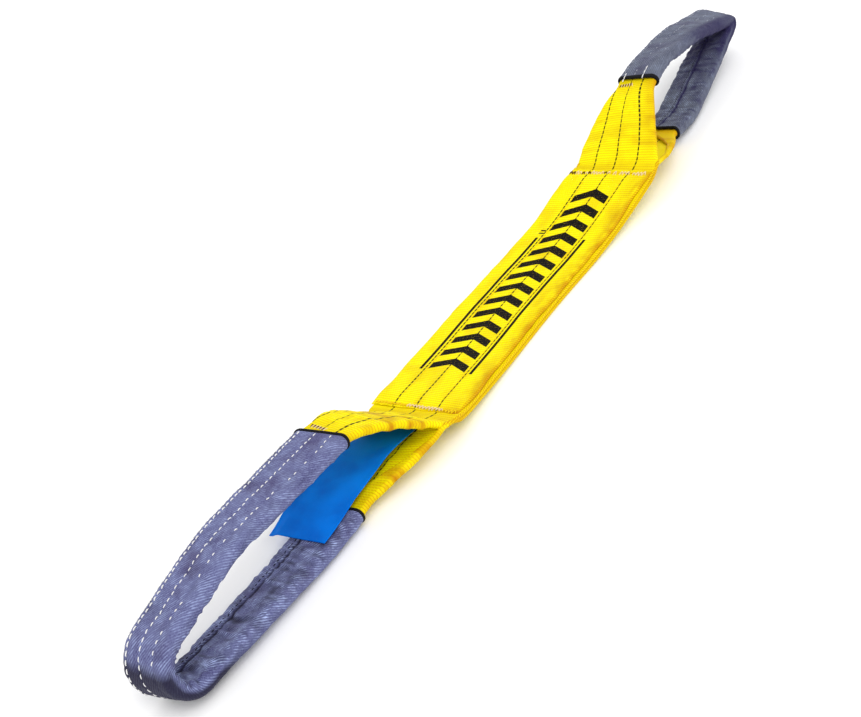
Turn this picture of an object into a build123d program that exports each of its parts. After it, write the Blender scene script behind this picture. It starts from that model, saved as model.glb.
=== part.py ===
from build123d import *
import math
import os

# Duplex flat webbing sling with two folded, sleeved eyes.
# Millimetres. +X runs along the sling towards the far eye, +Y across it, +Z up.
# The origin is the centre of the sling's footprint, on the surface that it lies on.

# ---- driving dimensions -------------------------------------------------------------------
WEB_WIDTH = 90.0  # sling width for 3 t, 30 mm for each tonne
WEB_THICKNESS = 3.2  # one layer of woven webbing
EDGE_SHIFT = 1.5  # the splice ply and the two runs are sewn this far off centre, opposite ways

BODY_LENGTH = 380.0  # from one bar-tack to the other, along the ground
FLAT_LENGTH = 90.0  # middle of the body that lies flat
NEAR_RISE = 11.0  # height that the body's two ends lift off the ground
FAR_RISE = 24.0
CUT_BACK = 2.0  # the splice ply's cut ends stop this far before the fold lines
RUN_PAST = 4.0  # the upper run goes this far past them

ROOT_GAP = 7.4  # an eye's legs begin this far from its fold line
ROOT_SPREAD = 2.0  # height of each leg's centre above or below the fold line there
LEG_LENGTH = 112.0  # each leg narrows over this length, up to its sleeve
MID_LEG = 56.0
FOLDED_WIDTH = 41.0  # webbing folded in half lengthwise
FOLDED_THICKNESS = 8.4
SLEEVE_GAP = 0.2
SLEEVE_WALL = 1.9
HEM_LENGTH = 5.0
HEM_RAISE = 0.7  # overlock thread round each sleeve end stands this proud

EYE_REACH = 328.0  # from the fold line to the middle of the webbing at the eye's tip
SLEEVE_CORNER = 5.6
HEEL_AT = 150.0  # where the lower leg meets the ground, out from the fold line
HEEL_RADIUS = 100.0
HEEL_CUT = 0.7  # what rounding the far heel takes off its corner
GROUND_GAP = 0.45  # keeps the stitches under each sleeve off the ground

THREAD = 1.4  # width of a row of stitches
THREAD_PROUD = 0.35
THREAD_DEEP = 1.1
OUTER_ROW_Y = 16.0  # rows of stitches along each sleeve
MIDDLE_ROW_Y = 3.0
BODY_ROW_Y = 21.0  # rows that join the three plies
BAR_TACK_LENGTH = 8.0
BAR_TACK_STEPS = 20
BAR_TACK_INSET = 12.0  # its middle, from the fold line
FOLD_TACK_AT = 103.0  # along a leg, just before its sleeve
FOLD_TACK_LENGTH = 14.0
FOLD_TACK_Y = 12.0
FOLD_TACK_WIDTH = 5.0
FOLD_TACK_STEPS = 6
FOLD_TACK_DEEP = 4.0

LABEL_START = 20.0
LABEL_END = 156.0
LABEL_BASE = 0.4  # its height over the fold line where it starts, and how much it climbs
LABEL_CLIMB = 1.4
LABEL_WIDTH = 57.0
LABEL_CENTRE_Y = 7.5
LABEL_THICKNESS = 1.2
LABEL_SEWN = 16.0  # length held between the two runs

STACK = 3 * WEB_THICKNESS
HALF_BODY = BODY_LENGTH / 2
FLAT_HALF = FLAT_LENGTH / 2
SLEEVE_WIDTH = FOLDED_WIDTH + 2 * (SLEEVE_GAP + SLEEVE_WALL)
SLEEVE_THICKNESS = FOLDED_THICKNESS + 2 * (SLEEVE_GAP + SLEEVE_WALL)


# ---- the body's curve: flat in the middle, an arc up to each fold line ------------------------
class BodyEnd:
    """One half of the body, in its own frame: u outward from the body's middle, v up."""

    def __init__(self, side, rise):
        run = HALF_BODY - FLAT_HALF
        self.side = side
        self.rise = rise
        self.radius = (run**2 + rise**2) / (2 * rise)
        self.slope = math.asin(run / self.radius)

    def angle_at(self, back):
        """Angle round the arc of the point that lies back mm before the fold line."""
        return self.slope - back / self.radius

    def point(self, angle, height):
        """World X and Z on the arc, at a height measured square to the stack's middle."""
        reach = self.radius - height
        u = FLAT_HALF + reach * math.sin(angle)
        v = STACK / 2 + self.radius - reach * math.cos(angle)
        return (self.side * u, 0.0, v)

    def fold_line(self):
        x, _, z = self.point(self.slope, 0)
        return Vector(x, 0, z)

    def plane(self, back, height):
        """Plane whose Z is the stack's normal and whose X points outward along it."""
        angle = self.angle_at(back)
        x, _, z = self.point(angle, height)
        outward = (self.side * math.cos(angle), 0, math.sin(angle))
        normal = (-self.side * math.sin(angle), 0, math.cos(angle))
        return Plane(origin=(x, 0, z), x_dir=outward, z_dir=normal)


NEAR = BodyEnd(-1, NEAR_RISE)
FAR = BodyEnd(1, FAR_RISE)


def heel_height(end):
    """Height over the fold line that lets the sleeve's underside rest on the ground."""
    return SLEEVE_THICKNESS / 2 + GROUND_GAP - end.fold_line().Z


# An eye's corners, as distance out from its fold line and height over it, with the radius
# that rounds each one. The tip is two corners, so the bight is nearly a half circle.
NEAR_EYE = {
    "shoulder": (80.0, 51.5, 110.0),
    "crown": (226.0, 55.0, 140.0),
    "tip_top": (EYE_REACH, 36.0, 24.0),
    "tip_bottom": (EYE_REACH, heel_height(NEAR), 24.0),
    "heel": (HEEL_AT, heel_height(NEAR), HEEL_RADIUS),
}
FAR_EYE = {
    "shoulder": (98.0, 53.0, 120.0),
    "crown": (220.0, 40.0, 140.0),
    "tip_top": (EYE_REACH, 21.0, 13.0),
    "tip_bottom": (EYE_REACH, -4.0, 12.5),
    "heel": (HEEL_AT, heel_height(FAR) - HEEL_CUT, HEEL_RADIUS),
}


def body_edge(height, near_back, far_back):
    """Lengthwise curve of the body at a height from the stack's middle."""
    edges = []
    for end, back in ((NEAR, near_back), (FAR, far_back)):
        last = end.angle_at(back)
        edges.append(
            ThreePointArc(end.point(0, height), end.point(last / 2, height), end.point(last, height))
        )
    flat = Line(NEAR.point(0, height), FAR.point(0, height))
    return edges[0], flat, edges[1]


def body_strip(low, high, back, centre_y, width):
    """A strip along the body between two heights, cut square across its ends."""
    lower = body_edge(low, back, back)
    upper = body_edge(high, back, back)
    ends = []
    for index in (0, 2):
        ends.append(Line(lower[index] @ 1, upper[index] @ 1))
    face = make_face(Curve() + [*lower, *upper, *ends])
    return Pos(0, centre_y, 0) * extrude(face, amount=width / 2, both=True)


# ---- plies -----------------------------------------------------------------------------------
def make_plies():
    half = STACK / 2
    step = WEB_THICKNESS
    return {
        "lower_run_ply": body_strip(-half, -half + step, 0.0, -EDGE_SHIFT, WEB_WIDTH),
        "upper_run_ply": body_strip(-half + step, half - step, -RUN_PAST, -EDGE_SHIFT, WEB_WIDTH),
        "top_splice_ply": body_strip(half - step, half, CUT_BACK, EDGE_SHIFT, WEB_WIDTH),
    }


def make_body_seams():
    """Rows of stitches that join the three plies along the body."""
    seams = {}
    for name, y in (("body_seam_left", BODY_ROW_Y), ("body_seam_right", -BODY_ROW_Y)):
        top = STACK / 2 + THREAD_PROUD
        seams[name] = body_strip(-STACK / 2, top, BAR_TACK_INSET + BAR_TACK_LENGTH, y, THREAD)
    return seams


def zigzag(plane, length, width, steps, line_width, depth):
    """Zigzag of thread on a plane, across its local Y, sunk into what is below it."""
    points = []
    for step in range(steps + 1):
        x = length / 2 if step % 2 else -length / 2
        points.append((x, -width / 2 + width * step / steps))
    return extrude(plane * trace(Polyline(*points), line_width), -depth)


def make_bar_tack(end):
    plane = end.plane(BAR_TACK_INSET, STACK / 2 + THREAD_PROUD)
    depth = STACK + THREAD_PROUD - 0.6
    width = WEB_WIDTH - 8
    return zigzag(plane, BAR_TACK_LENGTH, width, BAR_TACK_STEPS, THREAD, depth)


# ---- eyes ------------------------------------------------------------------------------------
def eye_path(corners):
    start = (ROOT_GAP, 0, ROOT_SPREAD)
    finish = (ROOT_GAP, 0, -ROOT_SPREAD)
    points = [start]
    radii = []
    for u, v, radius in corners.values():
        points.append((u, 0, v))
        radii.append(radius)
    points.append(finish)
    return Wire(FilletPolyline(*points, radius=radii).edges())


def plane_on(path, distance):
    """Section plane on the path. Local X runs across the webbing, local Y to its outer face."""
    at = distance / path.length
    return Plane(origin=path @ at, x_dir=(0, 1, 0), z_dir=path % at)


def flat_section(plane, width, thickness, corner):
    return plane * RectangleRounded(width, thickness, corner)


def make_leg(path, distances):
    """A leg of the eye: full width by the body, folded in half where the sleeve starts."""
    mid_width = 0.6 * WEB_WIDTH + 0.4 * FOLDED_WIDTH
    sizes = (
        (WEB_WIDTH, WEB_THICKNESS, 1.4),
        (mid_width, 1.5 * WEB_THICKNESS, 1.9),
        (FOLDED_WIDTH, FOLDED_THICKNESS, 3.9),
    )
    sections = []
    for distance, (width, thickness, corner) in zip(distances, sizes):
        sections.append(flat_section(plane_on(path, distance), width, thickness, corner))
    return loft(sections, ruled=True)


def swept_band(path, start, finish, width, thickness, corner, hollow=None):
    """A band along a stretch of the path, hollow when an inner width and thickness are given."""
    stretch = path.trim(start / path.length, finish / path.length)
    plane = plane_on(path, start)
    section = flat_section(plane, width, thickness, corner)
    if hollow:
        inner_width, inner_thickness = hollow
        inner_corner = corner - (width - inner_width) / 2
        section = section - flat_section(plane, inner_width, inner_thickness, inner_corner)
    return sweep(section, path=stretch)


def thread_row(path, start, finish, y):
    """Row of stitches along the outer face of the sleeve, half sunk into it."""
    stretch = path.trim(start / path.length, finish / path.length)
    high = SLEEVE_THICKNESS / 2 + THREAD_PROUD
    low = SLEEVE_THICKNESS / 2 - THREAD_DEEP
    section = plane_on(path, start) * Pos(y, (high + low) / 2) * Rectangle(THREAD, high - low)
    return sweep(section, path=stretch)


def fold_tack(path, distance):
    """Short zigzag that holds the folded webbing shut beside the sleeve."""
    across = plane_on(path, distance)
    surface = Plane(
        origin=across.origin + across.y_dir * (FOLDED_THICKNESS / 2 - 0.2),
        x_dir=across.z_dir,
        z_dir=across.y_dir,
    )
    place = Plane(surface.location * Pos(0, FOLD_TACK_Y))
    return zigzag(place, FOLD_TACK_WIDTH, FOLD_TACK_LENGTH, FOLD_TACK_STEPS, THREAD, FOLD_TACK_DEEP)


def make_eye(prefix, corners):
    """One eye in its own frame, with the fold line at the origin and +X outward."""
    path = eye_path(corners)
    total = path.length
    far_leg = total - LEG_LENGTH
    webbing = make_leg(path, (0, MID_LEG, LEG_LENGTH))
    webbing += swept_band(path, LEG_LENGTH, far_leg, FOLDED_WIDTH, FOLDED_THICKNESS, 3.9)
    webbing += make_leg(path, (total, total - MID_LEG, far_leg))

    bore = (FOLDED_WIDTH + 2 * SLEEVE_GAP, FOLDED_THICKNESS + 2 * SLEEVE_GAP)
    hem_width = SLEEVE_WIDTH + 2 * HEM_RAISE
    hem_thickness = SLEEVE_THICKNESS + 2 * HEM_RAISE
    hem_corner = SLEEVE_CORNER + HEM_RAISE
    first = LEG_LENGTH + HEM_LENGTH
    last = far_leg - HEM_LENGTH
    parts = {
        "eye_webbing": webbing,
        "eye_sleeve": swept_band(
            path, first, last, SLEEVE_WIDTH, SLEEVE_THICKNESS, SLEEVE_CORNER, bore
        ),
        "hem_upper": swept_band(
            path, LEG_LENGTH, first, hem_width, hem_thickness, hem_corner, bore
        ),
        "hem_lower": swept_band(path, last, far_leg, hem_width, hem_thickness, hem_corner, bore),
        "sleeve_seam_outer": thread_row(path, first, last, OUTER_ROW_Y),
        "sleeve_seam_middle": thread_row(path, first, last, MIDDLE_ROW_Y),
        "fold_tack_upper": fold_tack(path, FOLD_TACK_AT),
        "fold_tack_lower": fold_tack(path, total - FOLD_TACK_AT),
    }
    return {f"{prefix}_{name}": solid for name, solid in parts.items()}


# ---- label -----------------------------------------------------------------------------------
def make_label_flap():
    """Free part of the label, in the near eye's frame before it is mirrored."""
    length = LABEL_END - LABEL_START
    tilt = math.degrees(math.atan2(LABEL_CLIMB, length))
    flap = Box(length, LABEL_WIDTH, LABEL_THICKNESS, align=(Align.MIN, Align.CENTER, Align.CENTER))
    flap = fillet(flap.edges().filter_by(Axis.Z), 3.0)
    return Pos(LABEL_START, LABEL_CENTRE_Y, LABEL_BASE) * Rot(0, -tilt, 0) * flap


def make_label_end():
    """Part of the label that is caught between the two runs, under the near bar-tack."""
    plane = NEAR.plane(LABEL_SEWN / 2 + BAR_TACK_INSET / 2, -WEB_THICKNESS / 2)
    end = Box(LABEL_SEWN, LABEL_WIDTH, LABEL_THICKNESS)
    return plane * Pos(0, LABEL_CENTRE_Y, 0) * end


# ---- assembly ----------------------------------------------------------------------------------
def place_near(shape):
    return Pos(NEAR.fold_line()) * mirror(shape, about=Plane.YZ)


def place_far(shape):
    return Pos(FAR.fold_line()) * shape


def build():
    parts = {}
    parts.update(make_plies())
    parts.update(make_body_seams())
    parts["near_bar_tack"] = make_bar_tack(NEAR)
    parts["far_bar_tack"] = make_bar_tack(FAR)
    parts["label_sewn_end"] = make_label_end()
    for name, shape in make_eye("near", NEAR_EYE).items():
        parts[name] = Pos(0, -EDGE_SHIFT, 0) * place_near(shape)
    for name, shape in make_eye("far", FAR_EYE).items():
        parts[name] = Pos(0, -EDGE_SHIFT, 0) * place_far(shape)
    parts["label"] = place_near(make_label_flap())
    return parts


os.makedirs("parts", exist_ok=True)
for node, shape in build().items():
    export_step(shape, f"parts/{node}.step")

for side, end in (("near", NEAR), ("far", FAR)):
    line = end.fold_line()
    print(f"{side} fold line at x {line.X:.2f}, z {line.Z:.2f}, slope {math.degrees(end.slope):.2f}")
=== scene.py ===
import math

import bpy
import numpy as np
from mathutils import Matrix, Vector


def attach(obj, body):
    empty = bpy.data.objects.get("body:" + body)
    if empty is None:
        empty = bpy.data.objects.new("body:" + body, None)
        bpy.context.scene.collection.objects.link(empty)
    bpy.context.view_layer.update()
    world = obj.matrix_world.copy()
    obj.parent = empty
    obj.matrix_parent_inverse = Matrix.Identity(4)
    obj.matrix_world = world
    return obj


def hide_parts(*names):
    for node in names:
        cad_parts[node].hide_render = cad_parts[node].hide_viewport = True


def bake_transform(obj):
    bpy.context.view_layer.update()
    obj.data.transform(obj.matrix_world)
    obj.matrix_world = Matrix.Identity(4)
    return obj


# Flat web sling with two folded, sleeved eyes. Lengths are in millimetres unless a comment says metres.
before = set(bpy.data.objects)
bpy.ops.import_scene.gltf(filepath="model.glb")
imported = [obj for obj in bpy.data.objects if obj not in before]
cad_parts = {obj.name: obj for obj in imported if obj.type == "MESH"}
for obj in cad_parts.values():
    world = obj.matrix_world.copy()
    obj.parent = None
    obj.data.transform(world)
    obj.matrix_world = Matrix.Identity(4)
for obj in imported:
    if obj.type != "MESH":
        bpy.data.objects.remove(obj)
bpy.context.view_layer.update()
PI, TAU = math.pi, 2 * math.pi

# ---- shape ----
HALF_BODY = 190.0  # from the middle of the body to either fold line
FLAT_HALF = 45.0  # from the middle to where the body begins to curve up
STACK, PLY = 10.8, 3.6  # thickness of the three plies together, and of one
BEND = -13.2  # how far the body bows sideways
EDGE_SHIFT = 0.8  # the splice lies this far to one side, the two runs as far to the other
REACH = 328.0  # furthest corner of the near eye's route, out from its fold line
LEG_GAP = (7.4, 2.0)  # where each leg's own route begins, out from the fold line and over or under it
SLEEVE_AT = 105.0  # the webbing is fully folded this far out from its fold line
# each sleeve's upper and lower end: where it begins, how much further out its far edge lies, its hem
STARTS = {"near": (109.0, 117.0), "far": (110.0, 106.0)}
SKEW = {"near": (5.5, 0.0), "far": (2.5, 0.0)}
HEM = {"near": (2.8, 2.8), "far": (4.0, 3.2)}
HALF_WEB, HALF_FOLDED = 45.0, 18.4  # half the webbing's width, flat and folded
FOLD_RADIUS = 1.75
# how late the upper leg's far edge and the lower leg's near edge turn in
LATE_FOLD = {"near": (1.25, 1.8), "far": (2.0, 2.3)}
SLEEVE_HALF, SLEEVE_DEEP = 22.9, 6.4  # half a sleeve's width and depth
SLEEVE_CORNER, SLEEVE_WALL = 6.0, 1.6
COLUMNS, INNER_ROWS = 120, 60  # points round a sleeve, and rings down its inside
ROWS = (20.6, 15.6, 2.5, -11.5)  # rows of stitches across a sleeve's outer face
SEAM_AT = {"near": 9.0, "far": 2.0}  # lapped seam across its inner face
RIB = 2.7  # pitch of the weave's cross ribs
STRIPES = (-22.5, 0.0, 22.5)  # black marker yarns, across the webbing
PRINT_START, PRINT_END, PRINT_CELLS = -122.0, 167.0, 14  # band of chevrons along the body
SPLICE_START, SPLICE_END = -186.0, 188.0
BODY_SEAM = 21.0  # each body seam's distance from the middle
# the bar-tacks: place along the body, length along it, span across it
TACK_AT, TACK_LENGTH, TACK_Y = {"near": -183.0, "far": 183.5}, 4.6, (-42, 43)
LABEL_LENGTH, LABEL_WIDTH, LABEL_THICK = 160.0, 60.0, 0.9

# Each eye: side, rise of its fold line, yaw and lean in radians, corners as out, over and radius, then
# roll in radians and sideways slide at the inner KNOTS, which are shares of the way round the eye.
KNOTS = [0, 0.2, 0.35, 0.5, 0.65, 0.8, 1]
EYES = {
    "near": dict(
        side=-1, rise=11.9, yaw=0.019, lean=0.114,
        corners=[
            (69.7, 49.2, 113.0), (225.4, 52.4, 141.0), (REACH, 34.1, 25.0),
            (318.0, -14.0, 30.0), (150.0, -9.6, 120.0),
        ],
        roll=[0.30, 0.08, 0.085, 0.03, -0.12],
        slide=[0.0, 0.0, -2.5, -6.5, -5.5],
    ),
    "far": dict(
        side=1, rise=24.8, yaw=0.083, lean=0.003,
        corners=[
            (98.3, 55.0, 122.0), (214.0, 42.5, 140.0), (325.0, 13.0, 16.0),
            (320.0, 0.5, 15.0), (150.0, -22.6, 121.0),
        ],
        roll=[-0.13, 0.10, 0.30, 0.0, 0.0],
        slide=[0.0, 0.0, 0.0, -3.0, -7.0],
    ),
}


def offset(point, across, normal, a, n):
    """Points moved a across and n outward."""
    return point + across * a[..., None] + normal * n[..., None]


def unit(a):
    """Vectors along the last axis, scaled to length 1."""
    return a / np.linalg.norm(a, axis=-1, keepdims=True)


def smooth(a, sigma):
    """Gaussian smoothing along the first axis that keeps both ends where they are."""
    n = int(3 * sigma)
    k = np.exp(-0.5 * (np.arange(-n, n + 1) / sigma) ** 2)
    a2 = a.reshape(len(a), -1)
    p = np.pad(a2, ((n, n), (0, 0)), mode="reflect", reflect_type="odd")
    out = np.stack([np.convolve(p[:, i], k / k.sum(), "valid") for i in range(a2.shape[1])], 1)
    return out.reshape(a.shape)


def ramp(x, lo, hi):
    """Smooth step from 0 at lo to 1 at hi."""
    t = np.clip((x - lo) / (hi - lo), 0, 1)
    return t * t * (3 - 2 * t)


def bump(x, centre, width):
    """Bell curve of height 1."""
    return np.exp(-(((x - centre) / width) ** 2))


def noise(x, y, z=0.0, seed=0):
    """Smooth value noise from -1 to 1."""
    x, y, z = np.broadcast_arrays(np.asarray(x, float), np.asarray(y, float), np.asarray(z, float))
    cell = [np.floor(v) for v in (x, y, z)]
    part = [v - c for v, c in zip((x, y, z), cell)]
    part = [f * f * (3 - 2 * f) for f in part]
    total = 0.0
    for i, j, k in np.ndindex(2, 2, 2):
        mixed = (cell[0] + i) * 127.1 + (cell[1] + j) * 311.7 + (cell[2] + k) * 74.7 + seed * 19.19
        h = np.sin(mixed) * 43758.5453  # only its fraction is used
        weight = 1.0
        for side, f in zip((i, j, k), part):
            weight = weight * (f if side else 1 - f)
        total = total + weight * (h - np.floor(h))
    return 2 * total - 1


def resample(points, step):
    """Points about a step apart along a polyline."""
    s = np.concatenate([[0], np.cumsum(np.linalg.norm(np.diff(points, axis=0), axis=1))])
    t = np.linspace(0, s[-1], int(round(s[-1] / step)) + 1)
    return np.stack([np.interp(t, s, points[:, i]) for i in range(points.shape[1])], 1)


def rounded(points, radii):
    """Polyline with each inner corner rounded by an arc."""
    out = [points[0]]
    for i, radius in enumerate(radii, 1):
        a, b = points[i - 1] - points[i], points[i + 1] - points[i]
        la, lb = np.linalg.norm(a), np.linalg.norm(b)
        a, b = a / la, b / lb
        angle = math.acos(np.clip(a @ b, -1, 1))
        t = min(radius / math.tan(angle / 2), 0.49 * la, 0.49 * lb)
        r = t * math.tan(angle / 2)
        centre = points[i] + unit(a + b) * r / math.sin(angle / 2)
        u0, u1 = (points[i] + a * t - centre) / r, (points[i] + b * t - centre) / r
        turn = math.acos(np.clip(u0 @ u1, -1, 1))
        for k in np.linspace(0, 1, 30):
            spoke = (math.sin((1 - k) * turn) * u0 + math.sin(k * turn) * u1) / math.sin(turn)
            out.append(centre + r * spoke)
    return np.array(out + [points[-1]])


def body_curve(side, rise, x):
    """The stack's middle and its normal, x out from the body's centre."""
    run = HALF_BODY - FLAT_HALF
    radius = (run**2 + rise**2) / (2 * rise)
    u = np.clip(x - FLAT_HALF, 0, None)
    slope = np.arcsin(u / radius)
    y = BEND * ((x / HALF_BODY) ** 2 - 0.33)
    point = np.stack([side * x, y, STACK / 2 + radius - np.sqrt(radius**2 - u**2)], 1)
    normal = np.stack([-side * np.sin(slope), 0 * x, np.cos(slope)], 1)
    return point, normal


class Path:
    """The webbing's route from the body's middle out round one eye and back, a point each millimetre."""

    def __init__(self, side, rise, yaw, lean, corners, roll, slide):
        x = np.arange(0.0, HALF_BODY + 0.1, 1.0)
        middle, up = body_curve(side, rise, x)
        middle = middle + np.array([0, -EDGE_SHIFT, 0])
        origin = middle[-1]
        flat = [LEG_GAP] + [c[:2] for c in corners] + [(LEG_GAP[0], -LEG_GAP[1])]
        local = resample(rounded(np.array(flat, float), [c[2] for c in corners]), 1.0)
        out = np.array([side * math.cos(yaw), math.sin(yaw), 0.0])
        across = np.array([-math.sin(yaw) * side, math.cos(yaw), 0.0])
        upright = np.array([0, 0, 1.0])
        over = upright * math.cos(lean) + across * math.sin(lean)
        across = across * math.cos(lean) - upright * math.sin(lean)
        loop = origin + local[:, :1] * out + local[:, 1:] * over
        side_way = np.tile([0.0, 1.0, 0.0], (len(x), 1))
        points = np.concatenate([middle, loop, (middle - PLY * up)[::-1]])
        ways = np.concatenate([side_way, np.tile(across, (len(loop), 1)), side_way])
        both = smooth(resample(np.hstack([points, ways]), 1.0), 5.5)
        self.side = side
        self.s = np.arange(len(both), dtype=float)
        self.fold_up = HALF_BODY * 1.002  # the curved body is a little longer than it reaches
        self.fold_low = self.s[-1] - self.fold_up
        self.point, way = both[:, :3], smooth(both[:, 3:], 9)
        self.frame(way)
        share = self.share(self.s)
        self.point = self.point + self.across * smooth(np.interp(share, KNOTS, [0, *slide, 0]), 20)[:, None]
        turn = smooth(np.interp(share, KNOTS, [0, *roll, 0]), 14)[:, None]
        way = self.across * np.cos(turn) + self.normal * np.sin(turn)
        self.frame(way)
        # the eye rests on the floor: where its section would reach below a low clearance, it is lifted
        clearance, free = 1.6, 9.0  # free lifts nothing
        low = self.point[:, 2] - SLEEVE_DEEP * abs(self.normal[:, 2])
        low = low - (SLEEVE_HALF - 3) * abs(self.across[:, 2])
        low = np.where((share > 0.12) & (share < 0.9), low, free)
        lift = np.clip(clearance - low, 0, None)
        for _ in range(3):
            lift = np.maximum(smooth(lift, 12), lift)
        self.point[:, 2] += smooth(lift, 10)
        self.frame(way)
        # distance out along the nearer leg
        self.leg = np.minimum(self.s - self.fold_up, self.fold_low - self.s)

    def frame(self, way):
        """Sets along, across and outward normal at each point, with across as near to way as it can be."""
        self.along = unit(np.gradient(self.point, axis=0))
        self.across = unit(way - (way * self.along).sum(1, keepdims=True) * self.along)
        self.normal = np.cross(self.along, self.across) * self.side

    def share(self, s):
        """0 at the eye's upper fold line, 1 at its lower."""
        return (s - self.fold_up) / (self.fold_low - self.fold_up)

    def at(self, s):
        """Point, along, across, outward normal at distances s, as four arrays."""
        fields = (self.point, self.along, self.across, self.normal)
        pick = [np.stack([np.interp(s, self.s, a[:, i]) for i in range(3)], -1) for a in fields]
        return [pick[0]] + [unit(p) for p in pick[1:]]

    def skewed(self, name, s, a):
        """Distances s moved along for positions a across, so that a sleeve's edge lies askew."""
        shift_up, shift_low = SKEW[name]
        start_up, start_low = STARTS[name]
        fade_up = 1 - ramp(s - self.fold_up, start_up, start_up + 70)
        fade_low = 1 - ramp(self.fold_low - s, start_low, start_low + 70)
        return s + a / SLEEVE_HALF * (shift_up * fade_up - shift_low * fade_low)


PATHS = {name: Path(**values) for name, values in EYES.items()}


# ---- meshes ----
def make_object(name, vertices, faces, uvs=None, details=None, material=None):
    """Mesh piece from arrays in millimetres; uvs and details give one pair for each face corner."""
    mesh = bpy.data.meshes.new(name)
    faces = np.asarray(faces)
    mesh.vertices.add(len(vertices))
    mesh.vertices.foreach_set("co", (np.asarray(vertices) / 1000).astype(np.float32).ravel())
    mesh.loops.add(faces.size)
    mesh.loops.foreach_set("vertex_index", faces.astype(np.int32).ravel())
    mesh.polygons.add(len(faces))
    mesh.polygons.foreach_set("loop_start", np.arange(0, faces.size, faces.shape[1], dtype=np.int32))
    mesh.update(calc_edges=True)
    mesh.validate()
    mesh.polygons.foreach_set("use_smooth", np.ones(len(mesh.polygons), bool))
    for layer, values in (("map", uvs), ("detail", details)):
        if values is not None:
            mesh.uv_layers.new(name=layer).data.foreach_set("uv", np.asarray(values, np.float32).ravel())
    mesh.materials.append(material)
    obj = bpy.data.objects.new(name, mesh)
    bpy.context.scene.collection.objects.link(obj)
    return obj


def grid(name, points, uv, detail, material, flip=False, loop_rows=False):
    """Closed mesh from rows of rings. uv and detail have one more column than points, for the ring's seam."""
    rows, cols = points.shape[:2]
    last = rows if loop_rows else rows - 1
    r, c = np.meshgrid(np.arange(last), np.arange(cols), indexing="ij")
    r2, c2 = (r + 1) % rows, (c + 1) % cols
    corners = [(r, c, c), (r2, c, c), (r2, c2, c + 1), (r, c2, c + 1)]
    if flip:
        corners = corners[::-1]
    faces = np.stack([a * cols + b for a, b, _ in corners], -1).reshape(-1, 4)
    maps = [np.stack([layer[a, d] for a, _, d in corners], -2).reshape(-1, 2) for layer in (uv, detail)]
    if not loop_rows:
        k = np.arange(cols // 2 - 1)
        for row, turn in ((0, not flip), (rows - 1, flip)):
            cap = np.stack([k, k + 1, cols - 2 - k, cols - 1 - k], -1)
            cap = cap if turn else cap[:, ::-1]
            faces = np.concatenate([faces, row * cols + cap])
            ends = [layer[row][cap].reshape(-1, 2) for layer in (uv, detail)]
            maps = [np.concatenate(pair) for pair in zip(maps, ends)]
    return make_object(name, points.reshape(-1, 3), faces, maps[0], maps[1], material)


def ribbon(name, centre, normal, thickness, v, u, detail, material, flip=False):
    """Closed strip about a middle surface: rows along it, columns across it, rounded selvages."""
    half = np.broadcast_to(np.asarray(thickness, float) / 2, (len(u),))[:, None]

    def edge(i, beside, sign):
        """A point outside selvage column i, towards one face."""
        out = unit(centre[:, i] - centre[:, beside]) * half * 0.55
        return (centre[:, i] + sign * normal[:, i] * half * 0.5 + out)[:, None]

    top, low = centre + normal * half[..., None], centre - normal * half[..., None]
    ring = [top, edge(-1, -2, 1), edge(-1, -2, -1), low[:, ::-1], edge(0, 1, -1), edge(0, 1, 1)]
    ring = np.concatenate(ring, 1)
    first, last = v[:, :1], v[:, -1:]
    across = np.concatenate([v, last + 0.8, last + 1.6, v[:, ::-1], first - 1.6, first - 0.8, first], 1)
    uv = np.stack([np.repeat(u[:, None], across.shape[1], 1), across], -1) / 1000
    over, under = detail
    d = [over, over[:, -1:], under[:, -1:], under[:, ::-1], under[:, :1], over[:, :1], over[:, :1]]
    d = np.concatenate(d, 1)
    # the cap pairs columns from both ends, so the ring starts at the near selvage
    ring = np.roll(ring, 1, 1)
    uv = np.concatenate([uv[:, -2:-1], uv[:, :-2], uv[:, -2:-1]], 1)
    d = np.concatenate([d[:, -2:-1], d[:, :-2], d[:, -2:-1]], 1)
    return grid(name, ring, uv, d, material, flip)


def stitches(name, starts, ends, normals, radius, material, sink=0.35, sides=8):
    """Separate stitches: each is a closed bead of thread from a start to an end, arched over the surface."""
    starts, ends, normals = np.asarray([starts, ends, normals], float)
    t = np.array([0.0, 0.06, 0.18, 0.38, 0.62, 0.82, 0.94, 1.0])
    swell = np.sqrt(1 - (2 * t - 1) ** 4) * 0.95 + 0.05
    along = unit(ends - starts)
    up = unit(normals - (normals * along).sum(1, keepdims=True) * along)
    side = np.cross(along, up)
    angle = np.arange(sides) / sides * TAU
    rise = radius * (1 - sink) - radius * 1.3 * np.abs(2 * t - 1) ** 3
    centre = starts[:, None] + (ends - starts)[:, None] * t[None, :, None] + up[:, None] * rise[None, :, None]
    cos, sin = np.cos(angle)[None, None, :, None], np.sin(angle)[None, None, :, None]
    ring = (up[:, None, None] * cos + side[:, None, None] * sin) * (radius * swell)[None, :, None, None]
    points = (centre[:, :, None] + ring).reshape(-1, 3)
    count, rows = len(starts), len(t)
    base = np.arange(count)[:, None, None] * rows * sides
    r, c = np.meshgrid(np.arange(rows - 1), np.arange(sides), indexing="ij")
    here, c2 = r * sides, (c + 1) % sides
    quad = np.stack([here + c, here + c2, here + sides + c2, here + sides + c], -1).reshape(-1, 4)
    k = np.arange(sides // 2 - 1)
    first = np.stack([k, sides - 1 - k, sides - 2 - k, k + 1], -1)
    cap = (rows - 1) * sides + first[:, ::-1]
    quads = np.concatenate([quad, first, cap])
    faces = (base + quads[None]).reshape(-1, 4)
    which = np.repeat(np.arange(count), len(quads) * 4)
    uv = np.stack([which / 100, np.tile([0.0, 0.25, 0.5, 0.75], len(quads) * count)], -1)
    return make_object(name, points, faces, uv, uv * 0, material)


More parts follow.
